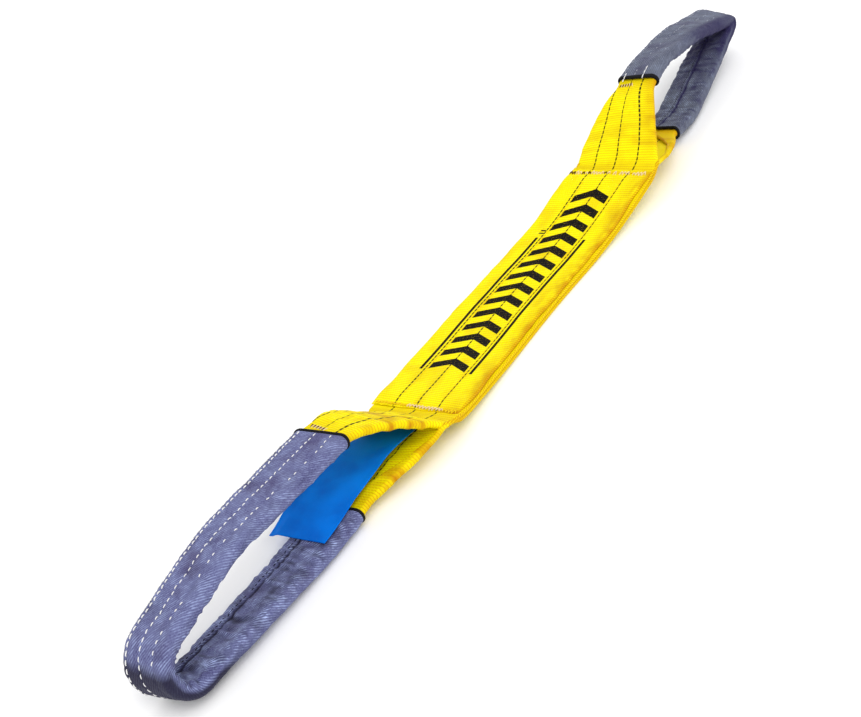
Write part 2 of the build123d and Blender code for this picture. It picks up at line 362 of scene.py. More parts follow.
def joined(rows):
    """Rows of starts, ends and normals as three arrays."""
    return [np.concatenate([r[i] for r in rows]) for i in range(3)]


# ---- materials ----
def rgb(r, g, b):
    """Linear colour from 0-255 values."""
    parts = [c / 255 / 12.92 if c <= 10 else ((c / 255 + 0.055) / 1.055) ** 2.4 for c in (r, g, b)]
    return (*parts, 1.0)


class Graph:
    """Shader nodes written as calls: each adds one node and returns its output."""

    def __init__(self, name, roughness, specular, sheen=0.0, tint=(1, 1, 1, 1)):
        self.material = bpy.data.materials.new(name)
        self.material.use_nodes = True
        self.tree = self.material.node_tree
        self.shader = self.tree.nodes["Principled BSDF"]
        keys = ("Roughness", "Specular IOR Level", "Sheen Weight", "Sheen Tint")
        for key, value in zip(keys, (roughness, specular, sheen, tint)):
            self.shader.inputs[key].default_value = value

    def put(self, value, socket):
        """Links a node's output to a socket, or sets the socket's value."""
        if isinstance(value, bpy.types.NodeSocket):
            self.tree.links.new(value, socket)
        else:
            socket.default_value = value

    def node(self, kind, *values, **props):
        n = self.tree.nodes.new("ShaderNode" + kind)
        for key, value in props.items():
            setattr(n, key, value)
        for i, value in enumerate(values):
            if value is not None:
                self.put(value, n.inputs[i])
        return n

    def math(self, operation, a, b=0.0, clamp=False):
        return self.node("Math", a, b, operation=operation, use_clamp=clamp).outputs[0]

    def mul(self, a, b):
        return self.math("MULTIPLY", a, b)

    def add(self, a, b):
        return self.math("ADD", a, b)

    def clamp(self, a):
        return self.math("MULTIPLY", a, 1.0, True)

    def abs(self, a):
        return self.math("ABSOLUTE", a)

    def wave(self, x, pitch, phase=0.0):
        return self.math("SINE", self.add(self.mul(x, TAU / pitch), phase))

    def step(self, x, lo, hi, out_lo=0.0, out_hi=1.0):
        return self.node("MapRange", x, lo, hi, out_lo, out_hi, interpolation_type="SMOOTHSTEP").outputs[0]

    def near(self, x, centre, half, soft):
        """1 where x is within half of centre, falling to 0 over soft."""
        return self.step(self.abs(self.math("SUBTRACT", x, centre)), half + soft, half)

    def mix(self, share, a, b):
        n = self.node("Mix", data_type="RGBA")
        for value, index in ((share, 0), (a, 6), (b, 7)):  # the node's own numbers for its colour sockets
            self.put(value, n.inputs[index])
        return n.outputs[2]

    def uv(self, name, scale=1.0):
        """The two coordinates of a UV layer; scale 1000 gives back millimetres."""
        split = self.node("SeparateXYZ", self.node("UVMap", uv_map=name).outputs[0])
        return [self.mul(split.outputs[i], scale) for i in (0, 1)]

    def noise(self, x, y, scale, detail=3.0, stretch=(1.0, 1.0)):
        place = self.node("CombineXYZ", self.mul(x, stretch[0]), self.mul(y, stretch[1]), 0.0).outputs[0]
        n = self.node("TexNoise")
        self.put(place, n.inputs["Vector"])
        n.inputs["Scale"].default_value = scale
        n.inputs["Detail"].default_value = detail
        return n.outputs["Fac"]

    def finish(self, colour, height=None, distance=0.001, strength=1.0):
        self.put(colour, self.shader.inputs["Base Color"])
        if height is not None:
            n = self.node("Bump")
            n.inputs["Strength"].default_value = strength
            n.inputs["Distance"].default_value = distance
            self.put(height, n.inputs["Height"])
            self.put(n.outputs[0], self.shader.inputs["Normal"])
        return self.material


YELLOW, GOLD, ORANGE = rgb(248, 238, 0), rgb(230, 188, 0), rgb(190, 124, 4)


def webbing_material(name, printed=False):
    """Ribbed yellow webbing. Its detail layer holds darkness, which is painted shade with random blotches,
    and the painted shade inside a fold.
    """
    g = Graph(name, 0.65, 0.08)
    u, v = g.uv("map", 1000.0)
    dark, fold = g.uv("detail")
    warp = g.wave(v, 2.1)
    brick = g.mul(g.step(warp, -0.25, 0.25), 0.14 * PI)
    rib = g.abs(g.math("SINE", g.add(g.mul(u, PI / RIB), brick)))
    column = g.abs(warp)
    height = g.mul(rib, g.add(0.62, g.mul(column, 0.38)))
    patch = g.noise(u, v, 0.035, 4.0, (1.0, 0.7))
    yarn = g.noise(u, v, 0.9, 2.0, (0.35, 2.0))
    tone = g.add(g.mul(height, 0.85), g.add(g.mul(patch, 0.4), g.mul(yarn, 0.4)))
    # painted shade: gold in the rib valleys, mixed with random patches and yarn tone
    colour = g.mix(g.step(tone, 0.40, 0.88), GOLD, YELLOW)
    wear = g.noise(u, v, 0.02, 5.0)
    colour = g.mix(g.step(wear, 0.56, 0.74, 0.0, 0.3), colour, rgb(240, 184, 6))
    # the selvages show the cross yarns turning back, as small slanted loops
    loops = g.step(g.wave(g.add(u, g.mul(v, 2.2)), RIB), -0.5, 0.6, 0.75, 0.15)
    selvage = g.mul(g.step(g.abs(v), 44.2, 45.2), loops)
    colour = g.mix(selvage, colour, rgb(196, 128, 4))
    # painted shade, with random blotches, mixed in as orange
    colour = g.mix(g.clamp(dark), colour, ORANGE)
    # painted shade inside a fold, mixed in as brown
    colour = g.mix(g.mul(g.clamp(fold), 0.85), colour, rgb(140, 104, 8))
    # three black marker yarns, broken up by the ribs that pass over them
    stripe = None
    for centre in STRIPES:
        line = g.near(v, centre, 0.55, 0.35)
        stripe = line if stripe is None else g.math("MAXIMUM", stripe, line)
    dash = g.step(g.wave(u, 2 * RIB, 0.6), -0.75, -0.1)
    stripe = g.mul(stripe, g.add(g.mul(dash, 0.55), 0.42))
    colour = g.mix(g.clamp(stripe), colour, rgb(20, 15, 6))
    if printed:
        # printed band of plain chevrons between the outer stripes, with a rule on each side
        cell = (PRINT_END - PRINT_START) / PRINT_CELLS
        place = g.math("DIVIDE", g.add(g.add(u, -PRINT_START), g.mul(g.abs(v), 0.5)), cell)
        bar = g.near(g.math("FRACT", place), 0.5, 0.235, 0.02)
        block = g.mul(bar, g.near(v, 0.0, 19.3, 0.4))
        block = g.mul(block, g.near(place, PRINT_CELLS / 2, PRINT_CELLS / 2, 0.01))
        rules = g.mul(g.near(g.abs(v), 26.8, 1.4, 0.3), g.near(u, -19.0, 109.0, 0.5))
        small = g.mul(g.near(v, 26.0, 2.6, 0.3), g.near(u, 99.0, 5.0, 0.4))
        small = g.mul(small, g.step(g.wave(u, 4.0), -0.2, 0.1))
        ink = g.math("MAXIMUM", g.math("MAXIMUM", block, rules), small)
        grain = g.step(g.add(g.mul(height, 0.7), g.noise(u, v, 0.8, 3.0)), 0.34, 0.55)
        ink = g.mul(ink, g.add(0.25, g.mul(grain, 0.75)))
        colour = g.mix(g.clamp(ink), colour, rgb(9, 7, 6))
    return g.finish(colour, g.add(height, g.mul(yarn, 0.25)), 0.00045, 0.8)


def sleeve_material(name, lit, mid, low, sheen_streak, deep):
    """Worn twill. Its detail layer holds darkness, which is mostly painted shade, and greyness above 0 or a
    fold's ridge below 0, which gets a painted highlight.
    """
    g = Graph(name, 0.7, 0.15, 0.06, (0.75, 0.78, 1, 1))
    u, v = g.uv("map", 1000.0)
    dark, grey = g.uv("detail")
    drift = g.mul(g.noise(u, v, 0.05, 2.0), 2.5)
    twill = g.wave(g.add(g.add(g.mul(u, 0.62), g.mul(v, 0.78)), drift), 1.9)
    cross = g.wave(g.add(g.mul(u, 0.8), g.mul(v, -0.6)), 1.3)
    height = g.add(g.mul(twill, 0.5), g.mul(cross, 0.18))
    patch = g.noise(u, v, 0.05, 4.0)
    fine = g.noise(u, v, 0.8, 2.0)
    tone = g.add(g.mul(height, 0.16), g.add(g.mul(patch, 0.9), g.mul(fine, 0.95)))
    colour = g.mix(g.step(tone, 0.45, 1.05), mid, lit)
    # painted highlight: lighter streaks along the twill, stronger on the ridges of the inner folds
    over_twill, along_twill = g.add(g.mul(u, 0.62), g.mul(v, 0.78)), g.add(g.mul(u, -0.78), g.mul(v, 0.62))
    broken = g.noise(over_twill, along_twill, 0.8, 2.0, (1.0, 0.3))
    shine = g.step(g.add(g.add(g.mul(twill, 0.2), broken), g.mul(g.noise(u, v, 0.1, 3.0), 0.9)), 0.98, 1.36)
    ridge = g.math("MULTIPLY", grey, -1.0, True)
    glint = g.math("MULTIPLY", shine, g.add(0.5, g.mul(ridge, 0.8)), True)
    colour = g.mix(glint, colour, sheen_streak)
    stain = g.step(g.noise(u, v, 0.028, 5.0), 0.52, 0.72, 0, 0.45)
    colour = g.mix(stain, colour, low)
    colour = g.mix(g.mul(g.clamp(grey), 0.8), colour, rgb(88, 90, 104))
    # painted shade from the detail layer, with random mottling and the dark lap seam
    colour = g.mix(g.clamp(dark), colour, deep)
    return g.finish(colour, g.add(g.mul(height, 0.7), g.mul(fine, 0.7)), 0.0005, 0.75)


def thread_material(name, light, deep, roughness=0.6):
    g = Graph(name, roughness, 0.15)
    u, v = g.uv("map", 1.0)
    strand = g.wave(g.add(g.mul(u, 0.2), v), 0.25)
    share = g.step(g.add(g.noise(u, v, 9.0, 2.0), g.mul(strand, 0.12)), 0.3, 0.7)
    return g.finish(g.mix(share, deep, light), strand, 0.0001, 0.5)


WEB = webbing_material("yellow_webbing")
WEB_PRINTED = webbing_material("yellow_webbing_printed", True)
NEAR_CLOTH = sleeve_material(
    "sleeve_cloth_violet",
    rgb(104, 109, 150), rgb(66, 62, 110), rgb(56, 40, 80), rgb(172, 186, 230), rgb(20, 14, 38),
)
FAR_CLOTH = sleeve_material(
    "sleeve_cloth_grey",
    rgb(98, 104, 120), rgb(60, 62, 82), rgb(50, 38, 78), rgb(140, 150, 176), rgb(27, 16, 68),
)
WHITE_THREAD = thread_material("white_thread", rgb(255, 255, 252), rgb(224, 222, 224))
GREY_THREAD = thread_material("grey_thread", rgb(186, 190, 200), rgb(140, 144, 156))
CREAM_THREAD = thread_material("cream_thread", rgb(252, 236, 196), rgb(226, 190, 120))
BROWN_THREAD = thread_material("brown_thread", rgb(120, 66, 20), rgb(58, 28, 8))
YELLOW_THREAD = thread_material("yellow_thread", rgb(255, 230, 8), rgb(232, 182, 2))
BLACK_THREAD = thread_material("black_thread", rgb(20, 19, 24), rgb(6, 6, 9), 0.75)


def label_material():
    g = Graph("label_blue", 0.6, 0.03)
    u, v = g.uv("map", 1000.0)
    dark, _ = g.uv("detail")
    weave = g.mul(g.wave(u, 0.7), g.wave(v, 0.7))
    patch = g.noise(u, v, 0.03, 4.0)
    colour = g.mix(g.step(g.add(patch, g.mul(weave, 0.03)), 0.3, 0.7), rgb(0, 102, 206), rgb(0, 122, 230))
    # the detail layer's darkness is painted shade
    colour = g.mix(g.clamp(dark), colour, rgb(4, 24, 92))
    return g.finish(colour, weave, 0.0001, 0.4)


LABEL = label_material()


# ---- eye webbing ----
def half_section(narrow, turned):
    """Half a folded section, from its middle to the selvage: material, across, outward, fold's turn."""
    flap = np.maximum(HALF_WEB - narrow, 3.0)
    arc = np.minimum(PI * FOLD_RADIUS, flap * 0.6)
    half = HALF_WEB - flap
    room = np.minimum(1, (half - 0.9) / (flap - arc))[:, None]  # the two flaps stop short of each other
    columns = [np.linspace(0, 1, 13)[None, :-1] * half[:, None]]
    columns.append(half[:, None] + np.linspace(0, 1, 9, endpoint=False)[None] * arc[:, None])
    columns.append((half + arc)[:, None] + np.linspace(0, 1, 6, endpoint=False)[None] * (flap - arc)[:, None])
    columns.append(np.full((len(narrow), 1), HALF_WEB))
    v = np.concatenate(columns, 1)
    angle = np.clip((v - half[:, None]) / (arc[:, None] / PI), 0, PI) * turned
    past_fold = v[:, 1:] > (half + arc)[:, None] + 0.01
    dv = np.diff(v, axis=1) * np.where(past_fold, 1 + (room - 1) * turned, 1)
    mid = (angle[:, 1:] + angle[:, :-1]) / 2
    zero = np.zeros((len(narrow), 1))
    a = np.concatenate([zero, np.cumsum(np.cos(mid) * dv, 1)], 1)
    n = np.concatenate([zero, np.cumsum(-np.sin(mid) * dv, 1)], 1)
    return v, a, n, angle


def web_section(name, s, leg):
    """Across, outward and material coordinates of the folded webbing's middle, and the folds' turn."""
    share = np.clip((leg + 2) / (SLEEVE_AT - 4), 0, 1)
    late = share ** LATE_FOLD[name][0], share ** LATE_FOLD[name][1]
    upper = ramp(s, s[-1] / 2 + 40, s[-1] / 2 - 40)
    turned = ramp(leg, 2, 26)[:, None]
    sides = []
    for up, low in ((late[0], share), (share, late[1])):  # the far edge, then the near edge
        narrow = HALF_WEB - (HALF_WEB - HALF_FOLDED) * (up * upper + low * (1 - upper))
        sides.append(half_section(smooth(narrow, 4), turned))
    far, near = sides
    mirrored = (-1, -1, 1, -1)
    v, a, n, angle = (np.concatenate([sign * m[:, :0:-1], k], 1) for m, k, sign in zip(near, far, mirrored))
    # towards the sleeve the marker stripes crowd to the far side and the near fold shows its flank
    crowded = np.interp(v, [-45, -8.0, 5.0, 20.0, 45], [-45, -22.5, 0, 22.5, 45])
    share = ramp(leg, 15, SLEEVE_AT) * upper + ramp(leg, -5, 35) * (1 - upper)
    v_yarn = v + (crowded - v) * share[:, None]
    return a, n + FOLD_RADIUS * turned, v_yarn, angle


def eye_webbing(name):
    """The webbing of one eye and of the two runs as far as the body's middle, in one piece."""
    path = PATHS[name]
    total = path.s[-1]
    rows = [0.0]
    while rows[-1] < total:
        leg = min(rows[-1] - path.fold_up, path.fold_low - rows[-1])
        # fine rows on the bare legs, wider along the body, widest in the sleeve
        rows.append(rows[-1] + (0.8 if -24 < leg < SLEEVE_AT + 14 else 2.0 if leg < 0 else 4.0))
    s = np.array(rows[:-1] + [total])
    leg = np.interp(s, path.s, path.leg)
    a, n, v, angle = web_section(name, s, leg)
    point, _, across, normal = path.at(s)
    upper = (s < total / 2)[:, None]
    # cross wrinkles where the legs leave the body, and a slack swell along them
    row, leg = s[:, None], leg[:, None]
    loose = ramp(leg, 0, 14) * (1 - ramp(leg, 72, SLEEVE_AT - 2))
    ease = ramp(leg, -2, 30)
    creased = 1.35 if name == "near" else 0.55
    wrinkle = noise(row / 9.0, v / 26.0, 0, 3) * 0.9 + noise(row / 4.2, v / 16.0, 0, 5) * 0.45
    wrinkle = wrinkle * creased
    n = n + loose * wrinkle * np.where(upper, 1.0, 0.6)
    bare = 1 - ramp(leg, SLEEVE_AT - 18, SLEEVE_AT + 2)
    n = n + ease * bare * 1.3 * noise(row / 34, v / 24, 0, 7)
    cup = loose * 0.9 * (np.abs(a) / 40) ** 2 * 3.0
    n = n - cup
    centre = offset(point[:, None], across[:, None], normal[:, None], a, n)
    d_col = np.gradient(centre, axis=1)
    d_row = np.gradient(centre, s, axis=0)
    face = unit(np.cross(d_row, d_col)) * path.side
    # painted shade: the outer face is darker along the folds' creases, where the legs leave the body, beside
    # the sleeve's hem, in the wrinkles' valleys and on one flank
    crease = bump(np.abs(angle), PI / 2, 0.9) * ramp(leg, 6, 40)
    inner = np.clip(np.abs(angle) / PI, 0, 1) ** 3
    root = bump(leg, 4, 9)
    near_hem = bump(leg, SLEEVE_AT, 9)
    valley = np.clip(-wrinkle, 0, 1) * loose
    flank_shade = ramp(-v, 20, 33) * ramp(leg, 5, 60)
    # random darker blotches on the slack legs, fewer on the lower leg
    blotches = 0.32 * creased * loose * np.where(upper, 1.0, 0.3) * np.clip(noise(row / 6, v / 6, 0, 15), 0, 1)
    outer_shade_and_blotches = blotches + 0.2 * crease + 0.35 * root + 0.25 * near_hem + 0.6 * valley
    outer_shade_and_blotches = outer_shade_and_blotches + {"near": 0.15, "far": 0.4}[name] * flank_shade
    # painted shade on the inner face, near the body and beside the hem
    inner_painted_shade = 0.04 + 0.3 * root + 0.25 * near_hem + 0.1 * inner
    # on the side that faces into the eye, the web between the folded flaps is in shade
    hollow = (1 - ramp(np.abs(angle), 0.6, 2.2)) * ramp(leg, 4, 22)
    stripe = 0.5 + 0.5 * np.sin(TAU * row / 4.6 + 1.2 * noise(row / 14, v / 18, 0, 11))
    inner_fold = hollow * (0.08 + 0.42 * stripe) * ramp(v, -26, 0)
    inner_painted_shade = np.where(inner > 0.5, 0.06, inner_painted_shade)
    detail = [np.stack([outer_shade_and_blotches, 0 * v], -1), np.stack([inner_painted_shade, inner_fold], -1)]
    obj = ribbon(f"{name}_webbing", centre, face, PLY - 0.15, v, s, detail, WEB, flip=path.side < 0)
    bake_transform(obj)
    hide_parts(f"{name}_eye_webbing", "upper_run_ply", "lower_run_ply")
    return obj


# ---- body ----
def body_frame(x):
    """Stack middle and normal at signed positions x along the body."""
    near, near_up = body_curve(-1, EYES["near"]["rise"], -np.minimum(x, 0))
    far, far_up = body_curve(1, EYES["far"]["rise"], np.maximum(x, 0))
    pick = (x < 0)[:, None]
    return np.where(pick, near, far), np.where(pick, near_up, far_up)


def on_body(x, y, height):
    """Points over the body, y across it and height square to the stack's middle, with the normals."""
    point, up = body_frame(np.asarray(x, float))
    shift = np.stack([0 * x, y + 0 * x, 0 * x], -1)
    return point + up * np.asarray(height, float)[..., None] + shift, up


def top_splice():
    """The printed upper ply, pressed thin at its two cut ends."""
    x = np.arange(SPLICE_START, SPLICE_END + 0.01, RIB / 5)
    row = x[:, None]
    point, up = body_frame(x)
    v = np.linspace(-HALF_WEB, HALF_WEB, 61)[None].repeat(len(x), 0)
    rib = np.abs(np.sin(PI * row / RIB + 0.25 * PI * np.sign(np.sin(TAU * v / 6.0))))
    sway = (noise(row / 38, 0, 0, 2) + 0.3 * noise(row / 9, 0, 0, 6)) * (np.abs(v) / HALF_WEB) ** 3
    ends = np.maximum(ramp(row, 172, 188), ramp(-row, 172, 188))
    height = PLY + 0.1 * rib + 0.25 * noise(row / 30, v / 30, 0, 4) - 0.35 * ramp(np.abs(v), 41, 45)
    tacks = sum(bump(row, at, 3.0) for at in TACK_AT.values())
    seam = bump(np.abs(v), BODY_SEAM, 1.6) * 0.22 + tacks * 0.12
    press = np.maximum(ramp(x, 172, 190), ramp(-x, 166, 190))
    height = height - seam - 0.5 * (PLY - 0.9) * press[:, None]
    centre = point[:, None] + up[:, None] * height[..., None]
    centre[..., 1] += v + sway + EDGE_SHIFT
    centre[..., 0] += ends * 0.9 * np.sign(row) * noise(v / 3.5, 0, 0, 9)
    face = np.repeat(up[:, None], v.shape[1], 1)
    rough = 1 + 0.7 * noise(row / 7, v / 4, 0, 13)
    # painted shade: darker towards one side edge and in a band at the near cut end; darker along the
    # bar-tacks; random gold patches
    edge = ramp(-v, 31, 45) * 0.35 * rough + bump(row, -187, 5.0) * 0.35 * ramp(-v, 0, 25)
    tack = bump(row, 184, 3) * 0.2 + bump(row, -183, 4) * 0.25 * (v < 10)
    gold = 0.3 * np.clip(noise(row / 16, v / 11, 0, 17), 0, 1)
    detail = np.stack([edge + tack + gold, 0 * v], -1)
    thick = PLY - 0.2 - (PLY - 0.9) * press
    # the underside gets 0.2 more painted shade
    obj = ribbon("top_splice", centre, face, thick, v, x, [detail, detail + 0.2], WEB_PRINTED)
    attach(obj, "root")
    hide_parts("top_splice_ply")


def body_seams():
    """Two rows of yellow stitches along the body, on the top and the underside."""
    for name, y in (("body_seam_left", BODY_SEAM), ("body_seam_right", -BODY_SEAM)):
        x = np.arange(-168.0, 168.0, 5.0)
        rows = []
        for height, sign in ((STACK / 2 - 0.2, 1), (-STACK / 2 + 0.1, -1)):
            a, up = on_body(x, y, 0 * x + height)
            b, _ = on_body(x + 3.9, y, 0 * x + height)
            rows.append((a, b, up * sign))
        obj = stitches(name + "_stitches", *joined(rows), 0.5, YELLOW_THREAD, 0.6)
        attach(obj, "root")
        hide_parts(name)


def speckled(y, seed, share):
    """True at scattered positions, more of them as share rises."""
    return noise(y * 0.9, 2.0, 0, seed) < -1 + 2 * share


def bar_tack(name, x_mid, pitch, top, threads):
    """Uneven zigzag across the plies on both sides; threads gives name, material, slot and places."""
    y = np.arange(*TACK_Y, pitch)
    wobble = 0.9 * noise(y / 3.0, 0, 0, 21)
    long = TACK_LENGTH * (1 + 0.35 * noise(y / 2.0, 4.0, 0, 23))
    node = name.replace("_stitches", "")
    for suffix, material, slot, pick in threads:
        use = pick(y)
        rows = []
        for height, sign in ((top, 1), (-STACK / 2 + 0.15, -1)):
            left, right = (x_mid - long / 2 + wobble)[use], (x_mid + long / 2 + wobble)[use]
            for x0, x1, y0, y1 in ((left, right, 0.0, 0.55), (right, left, 0.5, 1.0)):
                a, up = on_body(x0, y[use] + pitch * y0, 0 * x0 + height)
                b, _ = on_body(x1, y[use] + pitch * y1, 0 * x0 + height)
                rows.append((a, b, up * sign))
        obj = stitches(name + suffix, *joined(rows), 0.5, material, 0.55)
        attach(obj, "root")
        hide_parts(node)


# ---- sleeves ----
def section_ring(half, deep, corner, count=COLUMNS):
    """Rounded rectangle, evenly spaced, from the middle of the inner face round by the far edge."""
    straight, rise = half - corner, deep - corner
    quarter = np.linspace(0, PI / 2, 12)
    arcs = []
    for sx, sy, start in ((1, -1, -PI / 2), (1, 1, 0), (-1, 1, PI / 2), (-1, -1, PI)):
        angle = start + quarter
        arcs.append(np.stack([sx * straight + corner * np.cos(angle), sy * rise + corner * np.sin(angle)], 1))
    outline = np.concatenate([[[0, -deep]], *arcs, [[0, -deep]]])
    s = np.concatenate([[0], np.cumsum(np.linalg.norm(np.diff(outline, axis=0), axis=1))])
    t = np.linspace(0, s[-1], count + 1)
    ring = np.stack([np.interp(t, s, outline[:, i]) for i in (0, 1)], 1)
    way = np.gradient(np.concatenate([ring[-2:-1], ring, ring[1:2]]), axis=0)[1:-1]
    out = unit(np.stack([way[:, 1], -way[:, 0]], 1))
    return ring, out, t


def sleeve_swell(name, s, ring, out):
    """How far the cloth stands off its even section, in millimetres, for rows s and the ring's columns."""
    seed = 31 if name == "near" else 57
    path = PATHS[name]
    s, a, o = s[:, None], ring[:, 0], out[:, 1]
    share = path.share(s)
    bight = bump(share, 0.5, 0.09)
    inner, outer = ramp(-o, 0.1, 0.8), ramp(o, 0.1, 0.8)
    turn = np.arctan2(out[:, 1], out[:, 0])
    ring_x, ring_y = 2.2 * np.cos(turn), 2.2 * np.sin(turn)
    swell = 0.55 * noise(s / 26, a / 18, o * 1.5, seed)
    swell = swell + 0.28 * noise(s / 9, ring_x + a / 9, ring_y, seed + 1)
    wavering = s / 6.2 + 0.5 * noise(s / 20, a / 12, 0, seed + 5)
    folds = 1 - np.abs(noise(wavering, a / 34, o, seed + 2)) * 2
    swell = swell + inner * (0.9 + 0.8 * bight) * folds
    slack = 1 - np.abs(noise(s / 13 + a / 40, a / 22, o, seed + 3)) * 2
    swell = swell + outer * 0.32 * slack
    swell = swell + 0.10 * noise(s / 2.2, a / 2.6 + ring_x * 2, ring_y * 2, seed + 4)
    for row in ROWS:
        swell = swell - outer * bump(a, row, 1.5) * (0.35 + 0.12 * np.cos(TAU * s / 5.0))
        beside = bump(a, row - 3, 1.8) + bump(a, row + 3, 1.8)
        swell = swell + outer * beside * 0.16 * np.cos(TAU * s / 9.0 + row)
    swell = swell - 0.35 * ramp(a, 18.2, 19.4) * outer
    lap = SEAM_AT[name]
    lapped = ramp(a, lap, lap + 0.8) * (1 - ramp(a, lap + 9, lap + 12))
    swell = swell + inner * (0.75 * lapped - 0.6 * bump(a, lap - 0.8, 0.9))
    ends = np.minimum(ramp(s, s.min(), s.min() + 12), 1 - ramp(s, s.max() - 12, s.max()))
    return swell * (0.25 + 0.75 * ends)


class Sleeve:
    """One sleeve's outer surface, kept so that its stitches can sit on it."""

    def __init__(self, name):
        self.name, path = name, PATHS[name]
        first = path.fold_up + STARTS[name][0] + HEM[name][0] - 1
        last = path.fold_low - STARTS[name][1] - HEM[name][1] + 1
        self.s = np.linspace(first, last, int(last - first) + 1)
        ring, out, around = section_ring(SLEEVE_HALF, SLEEVE_DEEP, SLEEVE_CORNER)
        self.ring, self.out = ring[:-1], out[:-1]
        self.swell = sleeve_swell(name, self.s, self.ring, self.out)
        row = self.s[:, None]
        point, _, across, normal = path.at(path.skewed(name, row, self.ring[:, 0]))
        wide = 1 + 0.02 * noise(row / 40, 0, 0, 90)
        a = self.ring[:, 0] * wide + self.out[:, 0] * self.swell
        n = self.ring[:, 1] + self.out[:, 1] * self.swell
        self.outside = offset(point, across, normal, a, n)
        self.normals = unit(across * self.out[:, :1] + normal * self.out[:, 1:])
        inner = np.linspace(0, len(self.s) - 1, INNER_ROWS).astype(int)[::-1]
        wall = SLEEVE_WALL
        ring_in = section_ring(SLEEVE_HALF - wall, SLEEVE_DEEP - wall, SLEEVE_CORNER - wall)[0][:-1].T
        inside = offset(point[inner], across[inner], normal[inner], *ring_in)
        points = np.concatenate([self.outside, inside])
        s_all = np.concatenate([self.s, self.s[inner]])
        uv = np.stack(np.broadcast_arrays(s_all[:, None], around[None]), -1) / 1000
        # painted shade on the tube's inner walls
        painted_shade_inside = np.tile([0.9, 0.0], (INNER_ROWS, COLUMNS, 1))
        detail = np.concatenate([self.shade(path), painted_shade_inside])
        detail = np.concatenate([detail, detail[:, :1]], 1)
        cloth = NEAR_CLOTH if name == "near" else FAR_CLOTH
        obj = grid(f"{name}_sleeve", points, uv, detail, cloth, flip=path.side > 0, loop_rows=True)
        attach(obj, f"{name}_eye")
        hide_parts(f"{name}_eye_sleeve")

    def shade(self, path):
        """Painted shade on the cloth, with random mottling and the dark lap seam: darkness, and greyness or a
        fold's ridge, at each outer point.
        """
        a, o, s = self.ring[:, 0], self.out[:, 1], self.s[:, None]
        share = path.share(s)
        inner = ramp(-o, -0.2, 0.7)
        lower = ramp(share, 0.52, 0.62)
        under = bump(share, 0.60, 0.07) * ramp(o, -0.1, 0.6)
        valley = np.clip(-self.swell, 0, 1.2)
        mottle = np.clip(noise(s / 11, a / 8, o, 77) + 0.2, 0, 1)
        streaks = np.clip(noise(s / 3.0, a / 11, o, 78), 0, 1)
        seam = bump(a, SEAM_AT[self.name] - 0.8, 1.1) * inner
        # painted shade on the underside at the eye's tip
        tip_shade = ramp(share + 0.00025 * a, 0.484, 0.502) * (1 - ramp(share, 0.57, 0.63)) * ramp(o, -0.3, 0.3)
        # painted shade on the inner faces, in the swell's valleys and under the eye, with random mottling and
        # streaks and the dark lap seam
        dark = inner * (0.08 + 0.35 * mottle + 0.45 * streaks) + 0.35 * valley + 0.8 * seam + 0.3 * under
        dark = dark + 0.95 * tip_shade
        # painted shade at the far edge; the lower band's inner face is painted lighter
        dark = dark + 0.25 * ramp(a, 18.4, 19.4) * (1 - inner) - 0.1 * lower * inner
        # painted shade on the far eye's inner face near the bight and on the rolled underside of its near
        # edge
        if self.name == "far":
            dark = dark + inner * (0.02 + 0.65 * bump(share, 0.57, 0.09))
            dark = dark + 0.9 * ramp(-a, 8, 18) * bump(share, 0.41, 0.12)
        # greyer at the far edge; below 0, a fold's ridge on the inner face, which gets a painted highlight
        grey = ramp(a, 18.0, 19.6) * ramp(o, -0.6, 0.2) * 0.9 - inner * np.clip(self.swell, 0, 1.2)
        return np.stack([np.clip(dark, 0, 0.92) + 0 * s, np.clip(grey, -1, 1) + 0 * s], -1)

    def spot(self, s, a, inner=False):
        """Points and normals on the cloth at distances s and across positions a."""
        index = np.where(self.out[:, 1] < -0.02 if inner else self.out[:, 1] > 0.02)[0]
        index = index[np.argsort(self.ring[index, 0])]
        column = index[np.clip(np.searchsorted(self.ring[index, 0], a), 0, len(index) - 1)]
        row = np.clip(s - self.s[0], 0, len(self.s) - 1.001)
        low, share = row.astype(int), (row % 1)[:, None]
        point = self.outside[low, column] * (1 - share) + self.outside[low + 1, column] * share
        return point, self.normals[low, column]

    def row(self, a, pitch, length, seed, skip=0.0, inner=False, wander=0.35):
        """One row of stitches: starts, ends and normals."""
        s = np.arange(self.s[0] + 2, self.s[-1] - length - 2, pitch)
        s = s + 0.5 * noise(s / 7, 0, 0, seed)
        s = s[noise(s * 0.37, 3.3, 0, seed + 1) > -1 + 2 * skip]
        y0 = a + wander * noise(s / 12, 0, 0, seed + 2) + 0.25 * noise(s / 2, 1.0, 0, seed + 2)
        start, up = self.spot(s, y0, inner)
        end, _ = self.spot(s + length, y0 + 0.3 * noise(s / 2, 5.0, 0, seed + 3), inner)
        return start, end, up


def sleeve_seams(sleeve):
    """Stitches along one sleeve: two rows near its far edge, two about its middle, and its lap's own."""
    name = sleeve.name
    faint, thread, material = (0.0, 0.54, WHITE_THREAD) if name == "near" else (0.4, 0.4, GREY_THREAD)
    edge = [sleeve.row(ROWS[0], 4.6, 3.5, 1, 0.05 + faint), sleeve.row(ROWS[1], 5.0, 3.7, 4, 0.08 + faint)]
    middle = [sleeve.row(ROWS[2], 5.4, 3.6, 8, 0.15 + faint), sleeve.row(ROWS[3], 6.2, 3.0, 12, 0.4 + faint)]
    for place, rows, radius, sink in (("outer", edge, thread, 0.25), ("middle", middle, thread * 0.85, 0.45)):
        obj = stitches(f"{name}_sleeve_stitches_{place}", *joined(rows), radius, material, sink)
        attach(obj, f"{name}_eye")
        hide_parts(f"{name}_sleeve_seam_{place}")
    lap = [sleeve.row(SEAM_AT[name] + 2.2, 4.6, 3.0, 15, 0.1, True)]
    obj = stitches(f"{name}_sleeve_lap_stitches", *joined(lap), 0.36, BLACK_THREAD, 0.5)
    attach(obj, f"{name}_eye")


